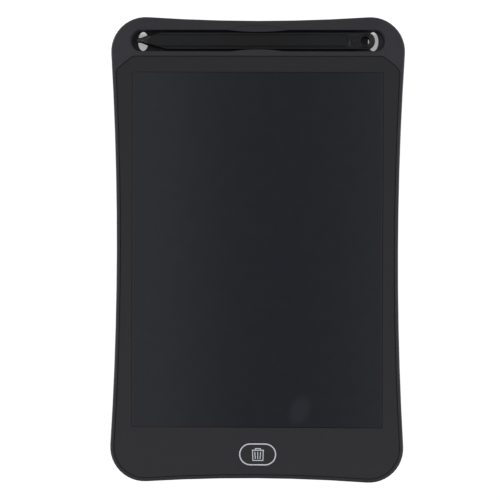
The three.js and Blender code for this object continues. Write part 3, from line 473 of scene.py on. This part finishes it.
def block(name, low, high):
    """A box from one corner to the other."""
    low, high = Vector(low), Vector(high)
    piece = start(name, bpy.ops.mesh.primitive_cube_add, size=1, location=(low + high) / 2, scale=high - low)
    return close(piece)


def rod(name, radius, low, high, x, y, steps):
    """An upright round rod."""
    piece = start(
        name, bpy.ops.mesh.primitive_cylinder_add, vertices=steps, radius=radius, depth=high - low,
        location=(x, y, (low + high) / 2),
    )
    return close(piece)


def lying_rod(name, radius, length, place, direction):
    """A thin round rod that lies from a place in a direction."""
    piece = rod(name, radius, 0, length, 0, 0, steps=24)
    piece.rotation_euler = direction
    piece.location = place
    return piece


def line_from(name, points):
    """Starts a piece as a line: a plane merged to its middle, which is then drawn through the points."""
    piece = start(name, bpy.ops.mesh.primitive_plane_add, size=MM, location=points[0])
    bpy.ops.mesh.merge(type="CENTER")
    for here, there in zip(points, points[1:]):
        bpy.ops.mesh.extrude_region_move(TRANSFORM_OT_translate={"value": Vector(there) - Vector(here)})
    bpy.ops.mesh.select_all(action="SELECT")
    return piece


def plate(name, corners, low, high, slope=0, rise=0):
    """A flat shape through corner points, with a sloping edge round its top where it has one."""
    piece = line_from(name, [(x, y, low) for x, y in corners])
    bpy.ops.mesh.edge_face_add()
    bpy.ops.mesh.extrude_region_move(TRANSFORM_OT_translate={"value": (0, 0, high - low)})
    if slope:
        bpy.ops.mesh.inset(thickness=slope)
        bpy.ops.transform.translate(value=(0, 0, rise))
    bpy.ops.mesh.select_all(action="SELECT")
    bpy.ops.mesh.normals_make_consistent(inside=False)
    return close(piece)


def turned(name, points, centre, axis, steps):
    """A line turned all the way round an axis into a closed shape."""
    piece = line_from(name, points)
    bpy.ops.mesh.spin(steps=steps, angle=2 * math.pi, center=centre, axis=axis)
    bpy.ops.mesh.select_all(action="SELECT")
    bpy.ops.mesh.remove_doubles(threshold=merge_distance)
    bpy.ops.mesh.normals_make_consistent(inside=False)
    return close(piece)


def copied(name, node):
    """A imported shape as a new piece, its loose triangles merged and its flat faces made whole."""
    piece = bpy.data.objects.new(name, frame["nodes"][node].data.copy())
    bpy.context.scene.collection.objects.link(piece)
    take(piece)
    bpy.ops.mesh.customdata_custom_splitnormals_clear()
    bpy.ops.object.mode_set(mode="EDIT")
    bpy.ops.mesh.select_all(action="SELECT")
    bpy.ops.mesh.remove_doubles(threshold=merge_distance)
    bpy.ops.mesh.dissolve_limited(angle_limit=flat_angle)
    bpy.ops.object.mode_set(mode="OBJECT")
    bpy.ops.object.shade_smooth()
    return piece


def soften(node, width):
    """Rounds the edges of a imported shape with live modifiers, which leave its mesh alone."""
    piece = frame["nodes"][node]
    modify(piece, "WELD", live=True, merge_threshold=merge_distance)
    modify(piece, "DECIMATE", live=True, decimate_type="DISSOLVE", angle_limit=flat_angle)
    rounded_edges(piece, width, live=True)


def seat(piece, body, slot, *nodes):
    """Gives a finished piece its body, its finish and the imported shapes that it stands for."""
    piece.data.materials.clear()
    piece.data.materials.append(finishes[slot])
    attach(piece, body)
    if nodes:
        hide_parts(*nodes)


# Housing

# The finger dishes beside the bay's lips: parts of a flattened ball whose middle is just above the housing
dish_reach = 3.4 * MM
dish_depth = 0.65 * MM
dish_half_length = 16.3 * MM
dish_rise = 0.06 * MM
dish_steps = 96
housing_rounding = 0.1 * MM


def finger_dish(side):
    """The cutter for the shallow lens-shaped dish that runs down to a lip of the stylus bay."""
    low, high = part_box("stylus_body")
    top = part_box("front_frame")[1].z
    edge = (low.y + high.y) / 2 + side * (high.y - low.y) / 2
    share = math.sqrt(1 - (dish_rise / (dish_rise + dish_depth)) ** 2)
    piece = start(
        "dish", bpy.ops.mesh.primitive_uv_sphere_add, segments=dish_steps, ring_count=dish_steps // 2,
        radius=1, location=(0, edge, top + dish_rise),
        scale=(dish_half_length / share, dish_reach / share, dish_rise + dish_depth),
    )
    return close(piece)


def front_housing():
    """The front moulding, with its dished finger reliefs and softened edges."""
    piece = copied("front_housing", "front_frame")
    for side in (-1, 1):
        combine(piece, finger_dish(side), "DIFFERENCE")
    bpy.ops.object.shade_smooth()
    rounded_edges(piece, housing_rounding)
    seat(piece, "root", "front_housing", "front_frame")


# Printed marks

ink_thickness = 0.02 * MM
# The bin on the key: its lines, its size, and how far its lid lies from the key's middle
icon_line = 0.43 * MM
lid_line = 0.48 * MM
icon_width = 5.9 * MM
icon_height = 5.03 * MM
icon_shift = (0.12 * MM, 2.05 * MM)
# How far the can's sides stand in from the lid's ends, at its top and foot
can_top_inset = 0.68 * icon_line
can_foot_inset = 1.1 * icon_line
# The lid's handle: its height, and half its width at foot and top
handle_height = 0.83 * MM
handle_foot = 1.45 * MM
handle_top = 1.25 * MM
# The can's three ridges: their room to lid and foot, their spacing at top and foot, and their shift
ridge_room = 0.78 * MM
ridge_top = 1.45 * MM
ridge_foot = 1.15 * MM
ridge_shift = -0.1 * MM
# The padlocks, from the lock slider's middle line: their body, their shackle, their room to the slider
# and its travel, and how far the open one's shackle is lifted
padlock_line = 0.36 * MM
padlock_width = 2.6 * MM
padlock_height = 1.9 * MM
padlock_drop = 0.8 * MM
shackle_inset = 0.45 * MM
shackle_foot = 0.1 * MM
shackle_top = 1.4 * MM
padlock_room = 3.4 * MM
open_lift = 0.7 * MM
open_leg_share = 1.2
lock_travel = 2 * MM


def stroke(name, first, last, width, level):
    """A straight printed line with square ends."""
    ahead = (last - first).normalized()
    aside = Vector((-ahead.y, ahead.x)) * width / 2
    corners = [first - aside, last - aside, last + aside, first + aside]
    return plate(name, corners, level, level + ink_thickness)


def printed_mark(name, body, x, level, lines):
    """A mark printed in one piece. Each line has its two ends, measured from x, and its width."""
    shift = Vector((x, 0))
    piece, *rest = [
        stroke(f"{name}_{k}", Vector(first) + shift, Vector(last) + shift, width, level)
        for k, (first, last, width) in enumerate(lines)
    ]
    for bar in rest:
        combine(piece, bar, "UNION")
    piece.name = name
    seat(piece, body, "key_ring")


def erase_icon():
    """A generic bin in printed ink on the key: a lid with its handle, a tapered can and three ridges."""
    low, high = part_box("erase_key")
    x, y = (low.x + high.x) / 2 + icon_shift[0], (low.y + high.y) / 2
    half = icon_width / 2
    lid = y + icon_shift[1]
    foot = lid - icon_height
    can_top, can_foot = half - can_top_inset, half - can_foot_inset
    handle = lid + handle_height
    ridge_start, ridge_end = lid - ridge_room, foot + ridge_room
    thin_lines = [
        ((-can_top, lid), (-can_foot, foot)),
        ((can_top, lid), (can_foot, foot)),
        ((-can_foot - icon_line / 2, foot), (can_foot + icon_line / 2, foot)),
        ((-handle_foot, lid), (-handle_top, handle)),
        ((handle_foot, lid), (handle_top, handle)),
        ((-handle_foot, handle), (handle_foot, handle)),
        ((ridge_shift - ridge_top, ridge_start), (ridge_shift - ridge_foot, ridge_end)),
        ((ridge_shift, ridge_start), (ridge_shift, ridge_end)),
        ((ridge_shift + ridge_top, ridge_start), (ridge_shift + ridge_foot, ridge_end)),
    ]
    lines = [((-half, lid), (half, lid), lid_line)]
    lines += [(first, last, icon_line) for first, last in thin_lines]
    printed_mark("erase_icon", "erase_key", x, high.z, lines)


def padlock_marks():
    """Two generic padlocks printed beside the lock slider on the back: one open, one closed."""
    low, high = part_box("lock_slider")
    y = (low.y + high.y) / 2
    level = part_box("rear_cover")[0].z - ink_thickness
    half = padlock_width / 2
    leg = half - shackle_inset
    for name, x, lift in (
        ("mark_unlocked", low.x - padlock_room, open_lift),
        ("mark_locked", high.x + lock_travel + padlock_room, 0),
    ):
        arch = y + shackle_top + lift
        foot = y + shackle_foot
        printed_mark(name, "root", x, level, [
            ((-half, y - padlock_drop), (half, y - padlock_drop), padlock_height),
            ((-leg, foot), (-leg, arch), padlock_line),
            ((leg, foot + open_leg_share * lift), (leg, arch), padlock_line),
            ((-leg - padlock_line / 2, arch), (leg + padlock_line / 2, arch), padlock_line),
        ])


# Battery door

door_grooves = 5
door_groove_start = 3 * MM
door_groove_pitch = 1.4 * MM
door_groove_radius = 0.45 * MM
door_groove_rise = door_groove_radius / 3
door_groove_length = 11 * MM
door_rounding = 0.12 * MM


def battery_door():
    """The battery door, with a row of finger grooves at the end away from its screw."""
    piece = copied("battery_door_dressed", "battery_door")
    low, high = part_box("battery_door")
    for k in range(door_grooves):
        place = (
            low.x + door_groove_start + k * door_groove_pitch,
            (low.y + high.y - door_groove_length) / 2, low.z - door_groove_rise,
        )
        groove = lying_rod("groove", door_groove_radius, door_groove_length, place, baywards)
        combine(piece, groove, "DIFFERENCE")
    bpy.ops.object.shade_smooth()
    rounded_edges(piece, door_rounding)
    seat(piece, "battery_door", "rear_housing", "battery_door")


# Coin cell

cap_inset = 0.6 * MM
cap_height = 0.3 * MM
plus_reach = 2.6 * MM
plus_line = 0.32 * MM
plus_depth = 0.08 * MM
cell_steps = 96
cell_rounding = 0.04 * MM


def coin_cell():
    """The lithium cell: a round can with its smaller cap, and a plus sign pressed into its face."""
    low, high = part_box("coin_cell")
    x, y = (low.x + high.x) / 2, (low.y + high.y) / 2
    radius = (high.x - low.x) / 2
    step_level = high.z - cap_height
    outline = [
        (0, low.z), (radius, low.z), (radius, step_level), (radius - cap_inset, step_level),
        (radius - cap_inset, high.z), (0, high.z),
    ]
    points = [(x + out, y, level) for out, level in outline]
    piece = turned("coin_cell_dressed", points, (x, y, 0), (0, 0, 1), cell_steps)
    for half_x, half_y in ((plus_reach, plus_line), (plus_line, plus_reach)):
        bar = block("bar", (x - half_x, y - half_y, 0), (x + half_x, y + half_y, low.z + plus_depth))
        combine(piece, bar, "DIFFERENCE")
    bpy.ops.object.shade_smooth()
    rounded_edges(piece, cell_rounding)
    seat(piece, "root", "steel", "coin_cell")


# Stylus

# Half of the section, from the middle of the top face round to the middle of the underside,
# as shares of half the width and half the thickness
section_shares = [
    (0, 1), (0.66, 1), (0.74, 0.95), (0.84, 0.92), (0.945, 0.87), (0.99, 0.76), (1, 0.45), (1, 0.05),
    (0.98, -0.4), (0.92, -0.7), (0.82, -0.9), (0.62, -1), (0, -1),
]
tail_steps = 36
# Outline of the pointed end: distance from its end face, and radius, in millimetres
point_profile = [
    (0, 1.32), (0.1, 1.42), (1.3, 1.85), (2.7, 2.42), (4.2, 2.78), (5.6, 3.1), (7.2, 3.45), (8.6, 3.8),
    (10.2, 4.2), (12.2, 4.75),
]
# The same end seen from the side: distance from its end face, and half thickness
wedge_profile = [(-0.5, 1.36), (1.3, 1.74), (2.7, 2.0), (4.2, 2.28), (5.6, 2.6), (7.2, 3.0), (12.2, 4.4)]
wedge_breadth = 1.85
sharpener_reach = 8 * MM
sharpener_steps = 64
# The point lies this much nearer to the tablet's end than the barrel's middle line
point_shift = Vector((0, 0.37 * MM, 0))
# Cutters start this far outside what they cut
spare = 1 * MM
# The sunk lines beside the top facet: distance from the middle line, and radius
facet_lines = [(-2.8 * MM, 0.42 * MM), (2.95 * MM, 0.3 * MM)]
facet_line_rise = -0.1 * MM
head_length = 14.6 * MM
# The lanyard hole and its raised collar, which is drawn out to a point and sinks into the barrel
lanyard_from_end = 4.95 * MM
lanyard_radius = 2.2 * MM
lanyard_steps = 64
collar_radius = 3.3 * MM
collar_point = 6.4 * MM
collar_slope = 0.5 * MM
collar_height = 0.42 * MM
collar_foot = 0.02 * MM
collar_sink = 1 * MM
collar_steps = 40
# The groove across one side of the head, and the rib across the other
groove_from_end = 13.9 * MM
groove_width = 0.5 * MM
groove_depth = 0.5 * MM
rib_from_end = 12.6 * MM
rib_radius = 0.42 * MM
rib_height = 0.28 * MM
rib_share = 0.6
barrel_rounding = 0.1 * MM
# Outline of the writing tip: distance from its end, and radius, in millimetres
tip_profile = [(0, 0), (0, 0.6), (0.07, 0.88), (0.24, 1.1), (0.6, 1.22), (1.2, 1.26), (2.37, 1.27)]
tip_length = 2.4 * MM
tip_gap = 0.03 * MM
shank_radius = 0.74 * MM
shank_length = 3.1 * MM
tip_steps = 40
tip_rounding = 0.05 * MM


def stylus_places():
    """The centre of the stylus's round tail, its half width and half thickness, and its pointed end."""
    low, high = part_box("stylus_body")
    half_width = (high.y - low.y) / 2
    half_thickness = (high.z - collar_height - low.z) / 2
    tail = Vector((high.x - half_width, (low.y + high.y) / 2, low.z + half_thickness))
    return tail, half_width, half_thickness, low.x


def outline_points(profile, start_x, axis):
    """The points of a profile beside the stylus's axis, from where the profile starts."""
    return [(start_x + distance * MM, axis.y + radius * MM, axis.z) for distance, radius in profile]


def sharpener(name, profile, tail, end, breadth=1):
    """A turned shape that sharpens the barrel's end: round, or broader than it is thick."""
    far = tail.x + sharpener_reach
    line = [(end + profile[0][0] * MM, tail.y, tail.z)]
    line += outline_points(profile, end, tail)
    line += [(far, tail.y + sharpener_reach, tail.z), (far, tail.y, tail.z)]
    piece = turned(name, line, tail, (1, 0, 0), sharpener_steps)
    piece.scale.y = breadth
    piece.location.y = tail.y * (1 - breadth)
    return piece


def barrel_blank(tail, half_width, half_thickness, end):
    """The flat barrel: its section is turned round the tail, drawn out, and sharpened like a pencil."""
    points = [tail + Vector((0, across * half_width, up * half_thickness)) for across, up in section_shares]
    piece = line_from("stylus_barrel", points)
    bpy.ops.mesh.spin(steps=tail_steps, angle=math.pi, center=tail, axis=(0, 0, 1))
    bpy.ops.mesh.select_all(action="SELECT")
    bpy.ops.mesh.remove_doubles(threshold=merge_distance)
    select_points(piece, lambda place: abs(place.x - tail.x) < merge_distance)
    bpy.ops.mesh.select_mode(type="EDGE")
    bpy.ops.mesh.extrude_region_move(TRANSFORM_OT_translate={"value": (end - spare - tail.x, 0, 0)})
    bpy.ops.mesh.edge_face_add()
    bpy.ops.mesh.select_all(action="SELECT")
    bpy.ops.mesh.normals_make_consistent(inside=False)
    close(piece)
    combine(piece, sharpener("nose", point_profile, tail + point_shift, end), "INTERSECT")
    combine(piece, sharpener("wedge", wedge_profile, tail, end, wedge_breadth), "INTERSECT")
    return piece


def lanyard_collar(x, y, top):
    """The raised rim of the lanyard hole, drawn out to a point towards the writing end."""
    turn = math.pi - math.acos(collar_radius / collar_point)
    corners = [(x - collar_point, y)]
    for k in range(collar_steps + 1):
        angle = turn * (2 * k / collar_steps - 1)
        corners.append((x + collar_radius * math.cos(angle), y + collar_radius * math.sin(angle)))
    return plate(
        "collar", corners, top - collar_sink, top + collar_foot, collar_slope, collar_height - collar_foot,
    )


def stylus_barrel():
    """The barrel with its facet lines, its lanyard hole in a raised collar, a groove and a rib."""
    tail, half_width, half_thickness, end = stylus_places()
    piece = barrel_blank(tail, half_width, half_thickness, end)
    top = tail.z + half_thickness
    above = 2 * top
    tail_end = tail.x + half_width
    for aside, radius in facet_lines:
        place = (end - spare, tail.y + aside, top + facet_line_rise)
        line = lying_rod("line", radius, tail_end - head_length - end + spare, place, rightwards)
        combine(piece, line, "DIFFERENCE")

    hole_x = tail_end - lanyard_from_end
    combine(piece, lanyard_collar(hole_x, tail.y, top), "UNION")
    hole = rod("hole", lanyard_radius, 0, above, hole_x, tail.y, lanyard_steps)
    combine(piece, hole, "DIFFERENCE")

    groove_x = tail_end - groove_from_end
    groove = block(
        "groove", (groove_x - groove_width / 2, tail.y, top - groove_depth),
        (groove_x + groove_width / 2, tail.y + half_width, above),
    )
    combine(piece, groove, "DIFFERENCE")
    rib_place = (tail_end - rib_from_end, tail.y, top + rib_height - rib_radius)
    combine(piece, lying_rod("rib", rib_radius, rib_share * half_width, rib_place, keywards), "UNION")
    bpy.ops.object.shade_smooth()
    rounded_edges(piece, barrel_rounding)
    seat(piece, "stylus", "stylus_black", "stylus_body")


def stylus_tip():
    """The writing tip: a short waxy stub with a rounded end, on a shank in the barrel."""
    tail, _, _, end = stylus_places()
    axis = tail + point_shift
    line = outline_points(tip_profile, end - tip_length, axis)
    line += [
        (end - tip_gap, axis.y + shank_radius, axis.z),
        (end + shank_length, axis.y + shank_radius, axis.z),
        (end + shank_length, axis.y, axis.z),
    ]
    piece = turned("stylus_tip", line, axis, (1, 0, 0), tip_steps)
    bpy.ops.object.shade_smooth()
    rounded_edges(piece, tip_rounding)
    seat(piece, "stylus", "nib_black", "stylus_nib")


# Light, floor and camera

# What the camera sees: almost straight down, with the tablet a little to the right of the middle
picture_width = 500
pixel_size = 0.4934 * MM
tablet_middle_px = (257.15, 249.87)
lens_length = 100
sensor_width = 36
camera_roll = math.radians(0.2)
camera_lean = (math.radians(1.0), math.radians(0.5))
# Brightness of the room: how far a direction leans to a long side, and its red, green and blue.
# A direction to the tablet's ends counts less, and the room is brighter past the bay than past the key
room_levels = [
    (0, 0.09, 0.09, 0.1), (0.3, 0.16, 0.16, 0.17), (0.6, 0.78, 0.78, 0.78), (0.85, 1.4, 1.4, 1.4),
    (1, 0.6, 0.6, 0.6),
]
end_share = 0.4
far_end_gain = 0.45
# The lamps: place and size in metres, and brightness as a share of a white wall's
softboxes = [
    ("overhead_left", (-0.2, -0.2, 1.5), (0.1, 2.4), 0.8),
    ("overhead_right", (0.25, -0.2, 1.5), (0.1, 2.4), 0.75),
    ("side_left", (-1.3, 0.2, 0.8), (0.6, 1.4), 1.6),
    ("side_right", (1.3, 0.1, 0.8), (0.6, 1.4), 1.2),
]
# The floor: its size in metres, how far it lies below the tablet, its grey, and how brightly it glows
# under the tablet, dimmer there as a painted shadow, and beside it. The change lies at these shares of the
# tablet's half size
floor_size = 6
floor_drop = 0.1 * MM
floor_grey = 0.34
shadow_and_open_glow = (0.35, 0.9)
glow_limits = (0.93, 0.96)
white = (1, 1, 1, 1)


def add_camera():
    """The camera over the point of the tablet's face that lies in the middle of the picture."""
    distance = picture_width * pixel_size * lens_length / sensor_width
    middle_px = picture_width / 2
    target = Vector((
        (middle_px - tablet_middle_px[0]) * pixel_size,
        (tablet_middle_px[1] - middle_px) * pixel_size,
        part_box("front_frame")[1].z,
    ))
    camera = bpy.data.cameras.new("camera")
    camera.lens = lens_length
    camera.sensor_width = sensor_width
    holder = bpy.data.objects.new("camera", camera)
    lean_x, lean_y = camera_lean
    holder.rotation_euler = (-lean_y, lean_x, camera_roll)
    holder.location = target + holder.rotation_euler.to_matrix() @ Vector((0, 0, distance))
    bpy.context.scene.collection.objects.link(holder)
    bpy.context.scene.camera = holder


def add_softbox(name, place, size, brightness):
    """A large soft lamp that faces the tablet's middle."""
    lamp = bpy.data.lights.new(name, "AREA")
    lamp.shape = "RECTANGLE"
    lamp.size, lamp.size_y = size
    lamp.energy = brightness * math.pi * size[0] * size[1]
    holder = bpy.data.objects.new(name, lamp)
    ahead = Vector(place).normalized()
    aside = Vector((0, 1, 0)).cross(ahead).normalized()
    turn = Matrix((aside, ahead.cross(aside), ahead)).transposed()
    holder.matrix_world = Matrix.LocRotScale(Vector(place), turn, None)
    holder.visible_camera = False
    bpy.context.scene.collection.objects.link(holder)


def add_world():
    """A room that is white to the camera, and lit along the tablet's two long sides for all else."""
    world = bpy.data.worlds.new("studio")
    bpy.context.scene.world = world
    world.use_nodes = True
    tree = world.node_tree
    direction = add(tree, "TexCoord").outputs["Generated"]
    across = add(tree, "VectorMath", {0: direction, 1: (1, end_share, 0)}, operation="MULTIPLY")
    reach = add(tree, "VectorMath", {0: across}, operation="LENGTH").outputs["Value"]
    room = add(tree, "ValToRGB", {"Fac": reach})
    ramp = room.color_ramp.elements
    ramp[0].position, ramp[0].color = room_levels[0][0], (*room_levels[0][1:], 1)
    ramp[1].position, ramp[1].color = room_levels[-1][0], (*room_levels[-1][1:], 1)
    for place, *level in room_levels[1:-1]:
        ramp.new(place).color = (*level, 1)
    lengthways = add(tree, "SeparateXYZ", {"Vector": direction}).outputs["Y"]
    lit = toned(tree, room.outputs["Color"], lengthways, (-1.0, 1.0), (1 - far_end_gain, 1 + far_end_gain))
    seen = add(tree, "LightPath").outputs["Is Camera Ray"]
    colour = add(tree, "Mix", {"Factor": seen, "A": lit, "B": white}, data_type="RGBA")
    tree.links.new(colour.outputs["Result"], tree.nodes["Background"].inputs["Color"])


def add_floor():
    """A floor of dull pale paper that shows from above, with the tablet's faint cast shadow and a painted
    shadow under it.
    """
    bpy.ops.object.select_all(action="DESELECT")
    bpy.ops.mesh.primitive_plane_add(size=floor_size, location=(0, 0, -floor_drop))
    floor = bpy.context.object
    floor.name = "floor"
    for use in ("diffuse", "glossy", "transmission", "volume_scatter", "shadow"):
        setattr(floor, "visible_" + use, False)
    material = bpy.data.materials.new("floor_paper")
    material.use_nodes = True
    tree = material.node_tree
    shader = tree.nodes["Principled BSDF"]
    shader.inputs["Base Color"].default_value = (floor_grey, floor_grey, floor_grey, 1)
    shader.inputs["Roughness"].default_value = 1
    shader.inputs["Specular IOR Level"].default_value = 0
    place = add(tree, "TexCoord").outputs["Object"]
    parts = add(tree, "SeparateXYZ", {"Vector": place}).outputs
    shares = []
    for axis, half_size in zip(("X", "Y"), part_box("front_frame")[1]):
        aside = add(tree, "Math", {0: parts[axis]}, operation="ABSOLUTE")
        shares.append(add(tree, "Math", {0: aside, 1: half_size}, operation="DIVIDE"))
    share = add(tree, "Math", {0: shares[0], 1: shares[1]}, operation="MAXIMUM")
    # Painted shadow: the floor glows dimmer under the tablet
    glow = add(tree, "MapRange", {
        "Value": share, "From Min": glow_limits[0], "From Max": glow_limits[1],
        "To Min": shadow_and_open_glow[0], "To Max": shadow_and_open_glow[1],
    })
    light = add(tree, "Emission", {"Strength": glow})
    both = add(tree, "AddShader", {0: shader, 1: light})
    clear = add(tree, "BsdfTransparent")
    back = add(tree, "NewGeometry").outputs["Backfacing"]
    sides = add(tree, "MixShader", {0: back, 1: both, 2: clear})
    tree.links.new(sides.outputs[0], tree.nodes["Material Output"].inputs["Surface"])
    floor.data.materials.append(material)


# The scene

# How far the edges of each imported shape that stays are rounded, in millimetres
softened = {
    "rear_cover": 0.14, "bezel_film": 0.05, "lcd_panel": 0.08, "erase_key": 0.04, "erase_key_ring": 0.015,
    "battery_door_screw": 0.08, "lock_slider": 0.12, "board_screw_left": 0.08, "board_screw_right": 0.08,
    "controller_chip": 0.06, "boost_inductor": 0.06, "boost_diode": 0.06, "storage_capacitor_1": 0.08,
    "storage_capacitor_2": 0.08, "flex_connector": 0.06, "erase_switch_body": 0.06,
    "erase_switch_plunger": 0.08, "lock_switch_body": 0.06, "lock_switch_lever": 0.06,
    "control_board": 0.05, "battery_contact_negative": 0.04, "battery_contact_positive": 0.04,
}

add_camera()
add_world()
add_floor()
for softbox in softboxes:
    add_softbox(*softbox)

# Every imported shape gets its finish, also one that a piece made here stands for
for part in frame["record"]["subparts"]:
    frame["nodes"][part["node"]].material_slots[0].material = finishes[part["material_slot"]]
for node, width in softened.items():
    soften(node, width * MM)

front_housing()
erase_icon()
padlock_marks()
battery_door()
coin_cell()
stylus_barrel()
stylus_tip()

bpy.context.scene.view_settings.view_transform = "Standard"
